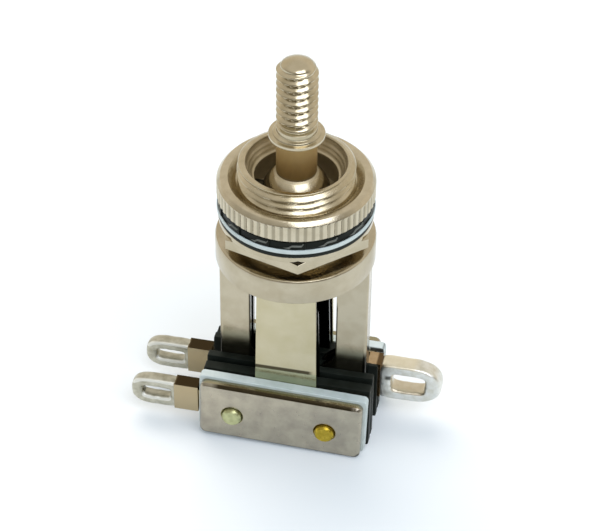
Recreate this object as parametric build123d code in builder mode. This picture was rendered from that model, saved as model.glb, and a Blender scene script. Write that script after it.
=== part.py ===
"""Three-position leaf toggle switch for choosing guitar pickups.

All sizes are in millimetres. The origin is on the bushing axis, in the plane of the
knurled nut's top face, and +Z points out along the upright lever. The lever rocks to the
front (-Y) and to the rear (+Y). The contact stack is layered along Y, the same on both
sides of the frame, and its solder lugs point along X.
"""

import os
from math import cos, pi, sin, sqrt

from build123d import *

os.makedirs("parts", exist_ok=True)

# ---------------------------------------------------------------- driving dimensions
# bushing and what is threaded onto it
BUSH_R = 5.953  # 15/32 in thread, major radius, where the thread stands free
BUSH_HELD_R = 5.695  # the same thread's pitch radius, where the nuts and washers hold it
FREE_THREAD_Z = -0.05  # where the free thread begins
RIM_Z = 1.75  # top of the bushing above the knurled nut
BORE_R = 5.07
LEDGE_R = 4.75
LEDGE_Z = -0.05
NUT_R = 8.0
NUT_H = 2.41
NUT_RIDGES = 63
LOCK_H = 0.89
WHITE_WASHER_H = 0.5
FIBRE_WASHER_H = 0.52
WASHER_R = 8.0
FLAT_WASHER_R = 8.25
FLAT_WASHER_H = 0.33
HEX_ACROSS_FLATS = 14.29
HEX_H = 1.45
HEX_TURN = 13.3  # degrees, where the nut was left when tightened
SHOULDER_R = 6.3
SHOULDER_H = 1.02
THREAD_GAP = 0.02  # running gap left between a nut and the thread it sits on

# lever, ball joint and cam
PIVOT_Z = -2.25
BALL_R = 3.5
SEAT_GAP = 0.06
PIN_R = 0.8
PIN_GAP = 0.05
PIN_HALF = 5.3
SHAFT_R = 2.05
LEVER_THREAD_R = 2.083  # No. 8-32 thread, major radius
COLLAR_R = 2.82
COLLAR_Z = (4.9, 5.25)
LEVER_GROOVE_Z = (6.1, 6.5)
LEVER_THREAD_TOP = 12.8
LEVER_CONE = (1.5, 13.4)  # radius and height where the lever's end cone meets its dome
LEVER_TOP = 13.9
STEM_R = 1.2
CAM_ARM = 10.79  # from the pivot down to the cam's roller
CAM_R = 1.45
CAM_HALF = 2.75
CAM_HUB_R = 1.25
CAM_STEM_R = 0.8

# sheet frame: a shallow cup with two channel legs
SHEET = 0.85
CUP_R = 8.22
CUP_H = 2.9
LEG_OUT = 7.9
LEG_IN = 4.6
LEG_DEPTH = 2.1
LEG_WALL = 0.65
LEG_ROUND = 0.3
FOOT_IN = 2.9
FOOT_FLARE = (-22.3, -25.3)  # the leg's inner edge widens between these heights

# contact stack: distances from the middle plane, and heights above its base
BASE_Z = -32.5
INNER_SPACER = (1.05, 1.9)
SHORT_LEAF = (1.9, 2.3)
OUTER_SPACER = (2.3, 3.45)
LONG_LEAF = (3.45, 3.9)
END_INSULATOR = (3.9, 4.95)
CLAMP_PLATE = (4.95, 5.9)
PLATE_X = (-9.1, 8.4)
PLATE_H = (0.2, 7.4)
FRONT_INSULATOR_X = (-9.35, 8.75)
FRONT_INSULATOR_H = (0.5, 7.74)
FRONT_TILT = 1.4  # degrees by which the front plate and its insulator hang down to the right
REAR_INSULATOR_X = (-8.9, 9.1)
REAR_INSULATOR_H = (0.5, 7.45)
SPACER_X = (-9.15, 8.85)
OUTER_SPACER_H = (0, 7.75)
INNER_SPACER_H = (0, 8.15)
NOTCH_X = 7.5  # the rear spacers are cut back to here, where the common lug passes
NOTCH_GAP = 0.05  # between the notch and the underside of the common lug
NOTCH_WEB = 0.37  # what the notch leaves of the rear inner spacer, in front of the lug
LEAF_SHIFT = 0.15  # each side's leaves stand this far off the middle, opposite ways
LEAF_SHEET_H = (0.5, 7.1)
LEAF_HALF = 3.05
LEAF_ROOT_HALF = 3.35
LEAF_TOP = -9.3
SHORT_LEAF_TOP = -15.4
CONTACT_Z = -18.2
CONTACT_R = 1.1

# clamp screws
SCREWS = ((-5.55, 3.55), (4.5, 3.2))  # X and height above the base of each
SCREW_R = 1.05
TAPPED_GAP = 0.03
CLEAR_R = 1.4  # hole that keeps a layer of metal away from the screw
HEAD_R = 1.9
HEAD_H = 1.4
SCREW_PROUD = 0.45  # the screw's end stands this far out of the tapped plate's face

# solder lugs
FRONT_LUG_Y = (2.5, 4.1)
REAR_LUG_Y = (1.95, 3.6)
LUG_Z = (1.65, 5.16)
LUG_ROOT = -9.7
LUG_TIP = -17.2
LUG_ROUND = 1.6
LUG_SLOT = (-16.0, -12.65)
SLOT_H = 1.35
SLOT_ROUND = 0.6
COMMON_Y = (1.45, 3.4)
COMMON_Z = (2.57, 7.3)
COMMON_ROOT = 7.6
COMMON_TIP = 15.8
COMMON_SLOT = (10.2, 14.0)
COMMON_SLOT_H = 2.3
COMMON_SLOT_ROUND = 0.5

# heights that follow from the ones above
LOCK_Z = -NUT_H
WHITE_Z = LOCK_Z - LOCK_H
FIBRE_Z = WHITE_Z - WHITE_WASHER_H
FLAT_Z = FIBRE_Z - FIBRE_WASHER_H
HEX_Z = FLAT_Z - FLAT_WASHER_H
SHOULDER_Z = HEX_Z - HEX_H
CUP_Z = SHOULDER_Z - SHOULDER_H
CEILING_Z = CUP_Z - SHEET
CAM_Z = PIVOT_Z - CAM_ARM
FRONT, REAR = -1, 1


def finish(builder, label):
    """Label the finished piece and write its STEP file."""
    builder.part.label = label
    export_step(builder.part, f"parts/{label}.step")


def turned_profile(points):
    """Face on the XZ plane from a closed outline of (radius, height) points."""
    with BuildSketch(Plane.XZ) as profile:
        with BuildLine():
            Polyline(*points, close=True)
        make_face()
    return profile.sketch


def layer(side, span):
    """Sketch plane and depth of a stack layer that fills span on one side of the frame."""
    back = max(side * span[0], side * span[1])
    return Plane.XZ.offset(-back), span[1] - span[0]


def stack_rectangle(x_span, z_span, round_r, tilt=0):
    """Rounded rectangle given by its ends along X and its heights above the stack's base."""
    centre = (sum(x_span) / 2, BASE_Z + sum(z_span) / 2, 0)
    with Locations(Location(centre, (0, 0, -tilt))):
        RectangleRounded(x_span[1] - x_span[0], z_span[1] - z_span[0], round_r)


def screw_holes(radii):
    """Cut the two screw holes of a stack layer, left and right, from the open sketch."""
    for (x, height), radius in zip(SCREWS, radii):
        with Locations((x, BASE_Z + height)):
            Circle(radius, mode=Mode.SUBTRACT)


def ring(label, outer, inner, top, height, edge):
    """Flat washer with lightly broken outer edges."""
    with BuildPart() as washer:
        with BuildSketch(Plane.XY.offset(top - height)):
            Circle(outer)
            Circle(inner, mode=Mode.SUBTRACT)
        extrude(amount=height)
        chamfer(washer.edges().filter_by(GeomType.CIRCLE).group_by(SortBy.RADIUS)[-1], edge)
    finish(washer, label)


# ---------------------------------------------------------------- lever, pin and cam
dome_rise = LEVER_TOP - LEVER_CONE[1]
dome_r = (LEVER_CONE[0] ** 2 + dome_rise**2) / (2 * dome_rise)

with BuildPart() as toggle_lever:
    with BuildSketch(Plane.XZ):
        with BuildLine():
            Polyline(
                (0, LEVER_TOP),
                (0, CAM_Z - 0.6),
                (CAM_STEM_R, CAM_Z - 0.6),
                (CAM_STEM_R, CAM_Z + 3.4),
                (STEM_R, CAM_Z + 3.4),
                (STEM_R, PIVOT_Z),
                (SHAFT_R, PIVOT_Z),
                (SHAFT_R, COLLAR_Z[0]),
                (COLLAR_R, COLLAR_Z[0]),
                (COLLAR_R, COLLAR_Z[1]),
                (SHAFT_R, COLLAR_Z[1]),
                (SHAFT_R, LEVER_GROOVE_Z[0]),
                (SHAFT_R - 0.33, LEVER_GROOVE_Z[0] + 0.1),
                (SHAFT_R - 0.33, LEVER_GROOVE_Z[1] - 0.1),
                (LEVER_THREAD_R, LEVER_GROOVE_Z[1] + 0.15),
                (LEVER_THREAD_R, LEVER_THREAD_TOP),
                LEVER_CONE,
            )
            RadiusArc(LEVER_CONE, (0, LEVER_TOP), -dome_r)
        make_face()
    revolve(axis=Axis.Z)
    with Locations((0, 0, PIVOT_Z)):
        Sphere(BALL_R)
        Cylinder(PIN_R + PIN_GAP, 4 * BALL_R, rotation=(0, 90, 0), mode=Mode.SUBTRACT)
finish(toggle_lever, "toggle_lever")

with BuildPart() as pivot_pin:
    with BuildSketch(Plane.YZ.offset(-PIN_HALF)):
        with Locations((0, PIVOT_Z)):
            Circle(PIN_R)
    extrude(amount=2 * PIN_HALF)
    chamfer(pivot_pin.edges().filter_by(GeomType.CIRCLE), 0.15)
finish(pivot_pin, "pivot_pin")

with BuildPart() as actuator_cam:
    with BuildSketch(Plane.YZ.offset(-CAM_HALF)):
        with Locations((0, CAM_Z)):
            Circle(CAM_R)
    extrude(amount=2 * CAM_HALF)
    chamfer(actuator_cam.edges().filter_by(GeomType.CIRCLE), 0.3)
    with BuildSketch(Plane.XY.offset(CAM_Z)):
        Circle(CAM_HUB_R)
    extrude(amount=3.3)
    with BuildSketch(Plane.XY.offset(CAM_Z - 0.62)):
        Circle(CAM_STEM_R + 0.01)
    extrude(amount=6, mode=Mode.SUBTRACT)
finish(actuator_cam, "actuator_cam")

# ---------------------------------------------------------------- bushing
seat_r = BALL_R + SEAT_GAP
seat_top = 0.86  # below the pivot, where the spherical seat begins
seat_end = 2.0
flare_end = 3.35
stake_z = CEILING_Z - 0.5
spigot_r = 4.0
lip_r = 4.3


def seat_radius(drop):
    """Radius of the ball seat at a drop below the pivot."""
    return sqrt(seat_r**2 - drop**2)


with BuildPart() as threaded_bushing:
    with BuildSketch(Plane.XZ):
        with BuildLine():
            Polyline(
                (seat_radius(seat_end), PIVOT_Z - seat_end),
                (flare_end, stake_z),
                (lip_r, stake_z),
                (lip_r, CEILING_Z),
                (spigot_r, CEILING_Z),
                (spigot_r, CUP_Z),
                (SHOULDER_R, CUP_Z),
                (SHOULDER_R, SHOULDER_Z),
                (BUSH_HELD_R, SHOULDER_Z),
                (BUSH_HELD_R, FREE_THREAD_Z),
                (BUSH_R, FREE_THREAD_Z),
                (BUSH_R, RIM_Z - 0.3),
                (BUSH_R - 0.3, RIM_Z),
                (BORE_R + 0.12, RIM_Z),
                (BORE_R, RIM_Z - 0.12),
                (BORE_R, LEDGE_Z + 0.15),
                (BORE_R - 0.15, LEDGE_Z),
                (LEDGE_R, LEDGE_Z),
                (LEDGE_R, PIVOT_Z - seat_top),
                (seat_radius(seat_top), PIVOT_Z - seat_top),
            )
            RadiusArc(
                (seat_radius(seat_top), PIVOT_Z - seat_top),
                (seat_radius(seat_end), PIVOT_Z - seat_end),
                seat_r,
            )
        make_face()
    revolve(axis=Axis.Z)
    with Locations((0, 0, PIVOT_Z)):
        Cylinder(PIN_R + 0.01, 2 * PIN_HALF, rotation=(0, 90, 0), mode=Mode.SUBTRACT)
finish(threaded_bushing, "threaded_bushing")

# ---------------------------------------------------------------- nuts and washers
ridge_depth = 0.32


def knurl_points():
    """Outline of the straight knurl: flat-topped ridges with V grooves between them."""
    step = 2 * pi / NUT_RIDGES
    points = []
    for ridge in range(NUT_RIDGES):
        angle = ridge * step
        for turn, radius in ((-0.32, NUT_R), (0.32, NUT_R), (0.5, NUT_R - ridge_depth)):
            points.append((radius * cos(angle + turn * step), radius * sin(angle + turn * step)))
    return points


with BuildPart() as knurled_nut:
    with BuildSketch(Plane.XY.offset(-NUT_H)):
        with BuildLine():
            Polyline(*knurl_points(), close=True)
        make_face()
    extrude(amount=NUT_H)
    turned = turned_profile(
        [
            (BUSH_HELD_R + THREAD_GAP, -NUT_H),
            (NUT_R - 0.25, -NUT_H),
            (NUT_R + 0.02, -NUT_H + 0.22),
            (NUT_R + 0.02, -0.45),
            (NUT_R - 0.42, 0),
            (NUT_R - 1.1, 0),
            (BUSH_HELD_R + THREAD_GAP, -0.55),
        ]
    )
    revolve(turned, axis=Axis.Z, mode=Mode.INTERSECT)
finish(knurled_nut, "knurled_nut")

lock_teeth = 14
tooth_twist = 7
tooth_width = 3.25
lock_sheet = 0.5

lock_middle = LOCK_Z - LOCK_H / 2

with BuildPart() as lock_tooth:
    with BuildSketch(Plane.YZ.offset(6.7)):
        with Locations((0, lock_middle)):
            Rectangle(tooth_width, lock_sheet * 0.8, rotation=tooth_twist)
    extrude(amount=1.15)

with BuildPart() as lock_washer:
    with BuildSketch(Plane.XY.offset(lock_middle - lock_sheet / 2)):
        Circle(7.0)
        Circle(BUSH_R + 0.15, mode=Mode.SUBTRACT)
    extrude(amount=lock_sheet)
    with PolarLocations(0, lock_teeth, start_angle=-90):
        add(lock_tooth.part)
finish(lock_washer, "lock_washer")

ring("white_washer", WASHER_R, BUSH_R + 0.1, WHITE_Z, WHITE_WASHER_H, 0.1)
ring("fibre_washer", WASHER_R, BUSH_R + 0.1, FIBRE_Z, FIBRE_WASHER_H, 0.08)
ring("flat_washer", FLAT_WASHER_R, BUSH_R + 0.15, FLAT_Z, FLAT_WASHER_H, 0.08)

with BuildPart() as hex_nut:
    with BuildSketch(Plane.XY.offset(HEX_Z - HEX_H)):
        RegularPolygon(HEX_ACROSS_FLATS / 2, 6, major_radius=False, rotation=HEX_TURN - 90)
        Circle(BUSH_HELD_R + THREAD_GAP, mode=Mode.SUBTRACT)
    extrude(amount=HEX_H)
    corner = HEX_ACROSS_FLATS / 2 / cos(pi / 6)
    turned = turned_profile(
        [
            (0, HEX_Z - HEX_H),
            (corner - 0.45, HEX_Z - HEX_H),
            (corner + 0.1, HEX_Z - HEX_H + 0.32),
            (corner + 0.1, HEX_Z - 0.36),
            (corner - 0.48, HEX_Z),
            (0, HEX_Z),
        ]
    )
    revolve(turned, axis=Axis.Z, mode=Mode.INTERSECT)
finish(hex_nut, "hex_nut")

# ---------------------------------------------------------------- sheet frame
foot_turn = (LEG_IN - FOOT_IN) / 2

with BuildPart() as frame:
    with BuildSketch(Plane.XZ.offset(-LEG_DEPTH / 2)):
        with BuildLine():
            Polyline(
                (LEG_IN, FOOT_FLARE[0]),
                (LEG_IN, CEILING_Z),
                (LEG_OUT, CEILING_Z),
                (LEG_OUT, BASE_Z),
                (FOOT_IN, BASE_Z),
                (FOOT_IN, FOOT_FLARE[1]),
            )
            Spline(
                (FOOT_IN, FOOT_FLARE[1]),
                (LEG_IN, FOOT_FLARE[0]),
                tangents=((0, 1), (0, 1)),
            )
        make_face()
    extrude(amount=LEG_DEPTH)
    fillet(frame.edges().filter_by(Axis.Z).group_by(Axis.X)[-1], LEG_ROUND)
    with BuildSketch(Plane.XY.offset(BASE_Z)):
        with Locations((0, 0)):
            Rectangle(2 * (LEG_OUT - LEG_WALL), LEG_DEPTH - 2 * LEG_WALL)
    extrude(amount=CEILING_Z - BASE_Z, mode=Mode.SUBTRACT)
    mirror(about=Plane.YZ)
    with BuildSketch(Plane.XZ.offset(-LEG_DEPTH / 2)):
        for screw_x, height in SCREWS:
            with Locations((screw_x, BASE_Z + height)):
                Circle(CLEAR_R)
    extrude(amount=LEG_DEPTH, mode=Mode.SUBTRACT)
    cup_wall = turned_profile(
        [
            (spigot_r + 0.03, CUP_Z),
            (CUP_R - 0.35, CUP_Z),
            (CUP_R - 0.1, CUP_Z - 0.1),
            (CUP_R, CUP_Z - 0.35),
            (CUP_R, CUP_Z - CUP_H + 0.1),
            (CUP_R - 0.1, CUP_Z - CUP_H),
            (CUP_R - SHEET, CUP_Z - CUP_H),
            (CUP_R - SHEET, CEILING_Z - 0.3),
            (CUP_R - SHEET - 0.3, CEILING_Z),
            (spigot_r + 0.03, CEILING_Z),
        ]
    )
    revolve(cup_wall, axis=Axis.Z)
finish(frame, "frame")

# ---------------------------------------------------------------- contact stack
with BuildPart() as core_spacer:
    middle = FOOT_IN - 0.1
    inside = LEG_OUT - LEG_WALL - 0.05
    web = LEG_DEPTH - 2 * LEG_WALL
    with BuildSketch(Plane.XY.offset(BASE_Z)):
        Rectangle(2 * inside, web)
        Rectangle(2 * middle, LEG_DEPTH)
    extrude(amount=OUTER_SPACER_H[1])
    with BuildSketch(Plane.XZ.offset(-LEG_DEPTH / 2)):
        for screw_x, height in SCREWS:
            with Locations((screw_x, BASE_Z + height)):
                Circle(SCREW_R + TAPPED_GAP)
    extrude(amount=LEG_DEPTH, mode=Mode.SUBTRACT)
finish(core_spacer, "core_spacer")


def stack_sheet(label, side, span, x_span, z_span, round_r, hole_r, tilt=0):
    """One plain rectangular layer of the stack with its two screw holes."""
    plane, depth = layer(side, span)
    with BuildPart() as sheet:
        with BuildSketch(plane):
            stack_rectangle(x_span, z_span, round_r, tilt)
            screw_holes((hole_r, hole_r))
            if label in ("rear_inner_spacer", "rear_outer_spacer"):
                notch_x = (NOTCH_X, x_span[1] + 1)
                notch_z = (COMMON_Z[0] - NOTCH_GAP, z_span[1] + 1)
                with Locations((sum(notch_x) / 2, BASE_Z + sum(notch_z) / 2)):
                    Rectangle(notch_x[1] - notch_x[0], notch_z[1] - notch_z[0], mode=Mode.SUBTRACT)
        extrude(amount=depth)
        if label == "rear_inner_spacer":
            with BuildSketch(Plane.XZ.offset(-span[0] - NOTCH_WEB)):
                stack_rectangle((NOTCH_X - 1, x_span[1]), (0, COMMON_Z[1]), round_r)
            extrude(amount=NOTCH_WEB)
        if label.endswith("clamp_plate"):
            outside = sheet.faces().sort_by(Axis.Y)[0 if side == FRONT else -1]
            chamfer(outside.outer_wire().edges(), 0.28)
        if label == "front_clamp_plate":
            tapped_face = sheet.faces().sort_by(Axis.Y)[0]
            chamfer(tapped_face.edges().filter_by(GeomType.CIRCLE).group_by(SortBy.RADIUS)[-1], 0.14)
    finish(sheet, label)


def blade(middle, top):
    """Upright spring blade about x = middle, a little wider where it leaves the stack."""
    with BuildSketch() as outline:
        with BuildLine():
            Polyline(
                (middle - LEAF_ROOT_HALF, BASE_Z + LEAF_SHEET_H[1] - 1.2),
                (middle - LEAF_HALF, top - 0.5),
                (middle - LEAF_HALF + 0.5, top),
                (middle + LEAF_HALF - 0.5, top),
                (middle + LEAF_HALF, top - 0.5),
                (middle + LEAF_ROOT_HALF, BASE_Z + LEAF_SHEET_H[1] - 1.2),
                close=True,
            )
        make_face()
    return outline.sketch


def lug_outline(root, tip, z_span, round_r, slot, slot_h, slot_round):
    """Solder lug with a rounded tip, square root and a long wire slot."""
    low, high = BASE_Z + z_span[0], BASE_Z + z_span[1]
    turn = tip - round_r if tip > root else tip + round_r
    middle = (low + high) / 2
    straight = (high - low) / 2 - round_r
    bend = round_r if tip > root else -round_r
    with BuildSketch() as outline:
        with BuildLine():
            Line((root, low), (root, high))
            Line((root, high), (turn, high))
            RadiusArc((turn, high), (tip, middle + straight), bend)
            Line((tip, middle + straight), (tip, middle - straight))
            RadiusArc((tip, middle - straight), (turn, low), bend)
            Line((turn, low), (root, low))
        make_face()
        with Locations((sum(slot) / 2, middle)):
            RectangleRounded(slot[1] - slot[0], slot_h, slot_round, mode=Mode.SUBTRACT)
    return outline.sketch


def long_leaf(label, side):
    """Long outer contact leaf: clamped root, blade up into the cup, folded lug to the left."""
    plane, depth = layer(side, LONG_LEAF)
    lug_plane, lug_depth = layer(side, FRONT_LUG_Y if side == FRONT else REAR_LUG_Y)
    with BuildPart() as leaf:
        with BuildSketch(plane):
            stack_rectangle((-8.7, 8.3), LEAF_SHEET_H, 0.4)
            add(blade(side * LEAF_SHIFT, LEAF_TOP))
            stack_rectangle((LUG_ROOT - 0.5, -8), (LUG_Z[0] + 0.5, LUG_Z[1] - 0.5), 0.05)
            screw_holes((CLEAR_R, CLEAR_R))
        extrude(amount=depth)
        with BuildSketch(lug_plane):
            slot = (LUG_SLOT, SLOT_H, SLOT_ROUND)
            add(lug_outline(LUG_ROOT, LUG_TIP, LUG_Z, LUG_ROUND, *slot))
        extrude(amount=lug_depth)
    finish(leaf, label)


def short_leaf(label, side):
    """Short inner contact leaf; the rear one carries the folded common lug on the right."""
    plane, depth = layer(side, SHORT_LEAF)
    common_plane, common_depth = layer(side, COMMON_Y)
    with BuildPart() as leaf:
        with BuildSketch(plane):
            stack_rectangle((-8.3, 8.3), LEAF_SHEET_H, 0.4)
            add(blade(side * LEAF_SHIFT, SHORT_LEAF_TOP))
            screw_holes((CLEAR_R, SCREW_R + TAPPED_GAP))
        extrude(amount=depth)
        if side == REAR:
            with BuildSketch(common_plane):
                round_r = (COMMON_Z[1] - COMMON_Z[0]) / 2 - 0.1
                slot = (COMMON_SLOT, COMMON_SLOT_H, COMMON_SLOT_ROUND)
                add(lug_outline(COMMON_ROOT, COMMON_TIP, COMMON_Z, round_r, *slot))
            extrude(amount=common_depth)
    finish(leaf, label)


def contact_button(label, side, span):
    """Domed-edge contact riveted to a leaf, facing its partner."""
    plane, depth = layer(side, span)
    with BuildPart() as button:
        with BuildSketch(plane):
            with Locations((0, CONTACT_Z)):
                Circle(CONTACT_R)
        extrude(amount=depth)
        chamfer(button.edges().filter_by(GeomType.CIRCLE), 0.12)
    finish(button, label)


for name, side in (("front", FRONT), ("rear", REAR)):
    snug_r = SCREW_R + TAPPED_GAP
    meet = (SHORT_LEAF[1] + LONG_LEAF[0]) / 2
    stack_sheet(f"{name}_inner_spacer", side, INNER_SPACER, SPACER_X, INNER_SPACER_H, 0.2, snug_r)
    stack_sheet(f"{name}_outer_spacer", side, OUTER_SPACER, SPACER_X, OUTER_SPACER_H, 0.2, snug_r)
    if side == FRONT:
        insulator = (FRONT_INSULATOR_X, FRONT_INSULATOR_H, 0.5, snug_r, FRONT_TILT)
        plate = (PLATE_X, PLATE_H, 0.7, snug_r, FRONT_TILT)
    else:
        insulator = (REAR_INSULATOR_X, REAR_INSULATOR_H, 0.5, snug_r)
        plate = (PLATE_X, PLATE_H, 0.7, snug_r)
    stack_sheet(f"{name}_end_insulator", side, END_INSULATOR, *insulator)
    stack_sheet(f"{name}_clamp_plate", side, CLAMP_PLATE, *plate)
    long_leaf(f"{name}_long_leaf", side)
    short_leaf(f"{name}_short_leaf", side)
    contact_button(f"{name}_long_contact", side, (meet, LONG_LEAF[0]))
    contact_button(f"{name}_short_contact", side, (SHORT_LEAF[1], meet))

# ---------------------------------------------------------------- clamp screws
for name, (screw_x, height) in zip(("left_screw", "right_screw"), SCREWS):
    centre = (screw_x, BASE_Z + height)
    face = CLAMP_PLATE[1]
    with BuildPart() as screw:
        with BuildSketch(Plane.XZ.offset(-face)):
            with Locations(centre):
                Circle(SCREW_R)
        extrude(amount=2 * face + SCREW_PROUD)
        chamfer(screw.edges().filter_by(GeomType.CIRCLE).group_by(Axis.Y)[0], 0.18)
        with BuildSketch(Plane.XZ.offset(-face - HEAD_H)):
            with Locations(centre):
                Circle(HEAD_R)
        extrude(amount=HEAD_H)
        chamfer(screw.edges().filter_by(GeomType.CIRCLE).group_by(Axis.Y)[-1], 0.25)
        with BuildSketch(Plane.XZ.offset(-face - HEAD_H)):
            with Locations(centre):
                Rectangle(2 * HEAD_R, 0.55)
        extrude(amount=0.7, mode=Mode.SUBTRACT)
    finish(screw, name)
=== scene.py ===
"""Looks of an open-frame three-position toggle switch with a threaded lever.

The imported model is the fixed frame. Lengths in this file are millimetres, turned into
metres only where a mesh, a lamp or the camera is made. +Z points out along the lever,
-Y towards the front clamp plate, and the solder lugs point along X.
"""

from math import radians

import bmesh
import bpy
import numpy as np
from mathutils import Matrix, Vector


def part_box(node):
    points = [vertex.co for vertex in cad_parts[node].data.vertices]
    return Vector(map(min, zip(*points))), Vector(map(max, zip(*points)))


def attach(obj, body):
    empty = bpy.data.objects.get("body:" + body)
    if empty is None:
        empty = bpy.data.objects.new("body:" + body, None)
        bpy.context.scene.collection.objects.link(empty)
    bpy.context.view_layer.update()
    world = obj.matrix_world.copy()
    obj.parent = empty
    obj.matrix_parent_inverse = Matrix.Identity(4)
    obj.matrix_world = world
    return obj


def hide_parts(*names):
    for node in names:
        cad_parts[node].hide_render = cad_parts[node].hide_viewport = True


MM = 0.001
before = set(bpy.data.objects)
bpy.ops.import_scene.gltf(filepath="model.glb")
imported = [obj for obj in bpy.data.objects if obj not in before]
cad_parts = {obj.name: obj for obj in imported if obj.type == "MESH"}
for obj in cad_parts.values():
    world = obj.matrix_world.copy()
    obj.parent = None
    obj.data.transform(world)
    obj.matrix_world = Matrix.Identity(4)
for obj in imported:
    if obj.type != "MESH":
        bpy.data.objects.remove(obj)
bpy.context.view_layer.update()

# ---------------------------------------------------------------- camera
CAMERA_AZIMUTH = 11.58
CAMERA_ELEVATION = 39.91
CAMERA_ROLL = 0.67
CAMERA_DISTANCE = 220.03
CAMERA_LENS = 128.04
SENSOR_WIDTH = 36
CLOSEST_SEEN = 10  # nothing nearer to the camera is drawn
TARGET_RIGHT = 0.46
TARGET_Z = -11.83


def towards(azimuth, elevation):
    """Direction from the switch, turned from -Y towards +X by azimuth, then raised."""
    level = np.cos(elevation)
    return Vector((np.sin(azimuth) * level, -np.cos(azimuth) * level, np.sin(elevation)))


def aim_camera():
    """Camera on a sphere about the switch, looking at a point beside its axis."""
    azimuth, elevation = radians(CAMERA_AZIMUTH), radians(CAMERA_ELEVATION)
    back = towards(azimuth, elevation)
    right = Vector((np.cos(azimuth), np.sin(azimuth), 0))
    up = back.cross(right)
    roll = radians(CAMERA_ROLL)
    rolled_right = right * np.cos(roll) + up * np.sin(roll)
    rolled_up = up * np.cos(roll) - right * np.sin(roll)
    stands_at = Vector((0, 0, TARGET_Z)) + right * TARGET_RIGHT + back * CAMERA_DISTANCE
    camera = bpy.data.objects.new("camera", bpy.data.cameras.new("camera"))
    faces = Matrix((rolled_right, rolled_up, back)).transposed()
    camera.matrix_world = Matrix.LocRotScale(stands_at * MM, faces.to_quaternion(), None)
    camera.data.lens = CAMERA_LENS
    camera.data.sensor_width = SENSOR_WIDTH
    camera.data.clip_start = CLOSEST_SEEN * MM
    bpy.context.scene.collection.objects.link(camera)
    bpy.context.scene.camera = camera


aim_camera()

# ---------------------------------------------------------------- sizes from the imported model
low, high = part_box("toggle_lever")
LEVER_TOP, LEVER_FOOT = high.z / MM, low.z / MM
low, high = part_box("threaded_bushing")
RIM_Z, BUSH_FOOT = high.z / MM, low.z / MM
low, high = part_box("knurled_nut")
NUT_BOTTOM = low.z / MM
low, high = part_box("hex_nut")
HEX_TOP, HEX_BOTTOM = high.z / MM, low.z / MM
low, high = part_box("frame")
CUP_Z, FLOOR_Z = high.z / MM, low.z / MM

FULL_TURN = 2 * np.pi
THREAD_PITCH = 0.794  # 32 turns to the inch, on the lever and on the bushing alike
THREAD_DEPTH = 0.42
LEVER_THREAD_R = 2.083
BUSH_R = 5.953  # the bushing's thread where it stands free
BUSH_HELD_R = 5.695  # the bushing inside the nuts and washers
NUT_R = 8.0
PIVOT_Z = -2.25
BALL_R = 3.5
COLLAR_FOOT_Z = 4.9

# ---------------------------------------------------------------- ways to make a surface
CURVE_STEPS = 4
LEG_SHARE = 0.49  # the most of a leg that the curve at one of its ends takes
SEAM_GAP = 1e-7  # metres; points of a grid this close are one point
SOLID_GAP = 2e-6  # metres; the same for a solid's own mesh
FLAT_WITHIN = radians(0.6)  # faces of a solid that differ less are merged into one
SOLID_SHARP = radians(35)  # edges that turn more keep their crease
ROUNDED_FROM = radians(28)  # edges that turn more are rounded over


def soften(corners, width):
    """Outline whose corners are quadratic curves, from width before each to width after it.

    The first and last points stay where they are. A leg shorter than two widths is
    shared between the curves at its ends.
    """
    corners = np.asarray(corners, float)
    middle = corners[1:-1, None]

    def leg(other):
        run = other - corners[1:-1]
        length = np.linalg.norm(run, axis=1, keepdims=True)
        return (corners[1:-1] + run / length * np.minimum(width, length * LEG_SHARE))[:, None]

    after = np.linspace(0, 1, CURVE_STEPS + 1)[None, :, None]
    before = 1 - after
    curves = before**2 * leg(corners[:-2]) + 2 * after * before * middle
    curves = curves + after**2 * leg(corners[2:])
    return np.vstack([corners[:1], curves.reshape(-1, 2), corners[-1:]])


def refine(outline, spacing, z_low, z_high):
    """The same outline with points added every spacing along it between two heights."""
    run = np.r_[0, np.cumsum(np.linalg.norm(np.diff(outline, axis=0), axis=1))]
    extra = np.arange(0, run[-1], spacing)
    height = np.interp(extra, run, outline[:, 1])
    kept = np.union1d(run, extra[(height > z_low) & (height < z_high)])
    return np.stack([np.interp(kept, run, part) for part in outline.T], 1)


def carried_round(radius, angle, height):
    """Grid of the points (r cos a, r sin a, z)."""
    height = np.broadcast_to(height, radius.shape)
    return np.stack([radius * np.cos(angle), radius * np.sin(angle), height], -1)


def turn(outline, angles, reshape=None):
    """Grid of points of an outline carried round the Z axis.

    Each point of radius r and height z stands at (r cos a, r sin a, z) at each angle a.
    reshape, where given, first makes r a function of r, a and z.
    """
    radius, height = outline[:, 0][None, :], outline[:, 1][None, :]
    angle = np.asarray(angles)[:, None]
    if reshape is not None:
        radius = reshape(radius, angle, height)
    radius = np.broadcast_to(radius, (angle.size, height.size))
    return carried_round(radius, angle, height)


def new_object(name, data):
    """New object in the scene that shows a mesh or a lamp."""
    thing = bpy.data.objects.new(name, data)
    bpy.context.scene.collection.objects.link(thing)
    return thing


def grid_piece(name, points, sharp=40):
    """Closed piece from a grid of points: its quads, with seams and poles merged."""
    rows, columns = points.shape[:2]
    index = np.arange(rows * columns).reshape(rows, columns)
    quads = np.stack([index[:-1, :-1], index[1:, :-1], index[1:, 1:], index[:-1, 1:]], -1)
    mesh = bpy.data.meshes.new(name)
    mesh.from_pydata((points.reshape(-1, 3) * MM).tolist(), [], quads.reshape(-1, 4).tolist())
    shell = bmesh.new()
    shell.from_mesh(mesh)
    bmesh.ops.remove_doubles(shell, verts=shell.verts, dist=SEAM_GAP)
    bmesh.ops.recalc_face_normals(shell, faces=shell.faces)
    shell.to_mesh(mesh)
    shell.free()
    mesh.shade_smooth()
    mesh.set_sharp_from_angle(angle=radians(sharp))
    return new_object(name, mesh)


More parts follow.
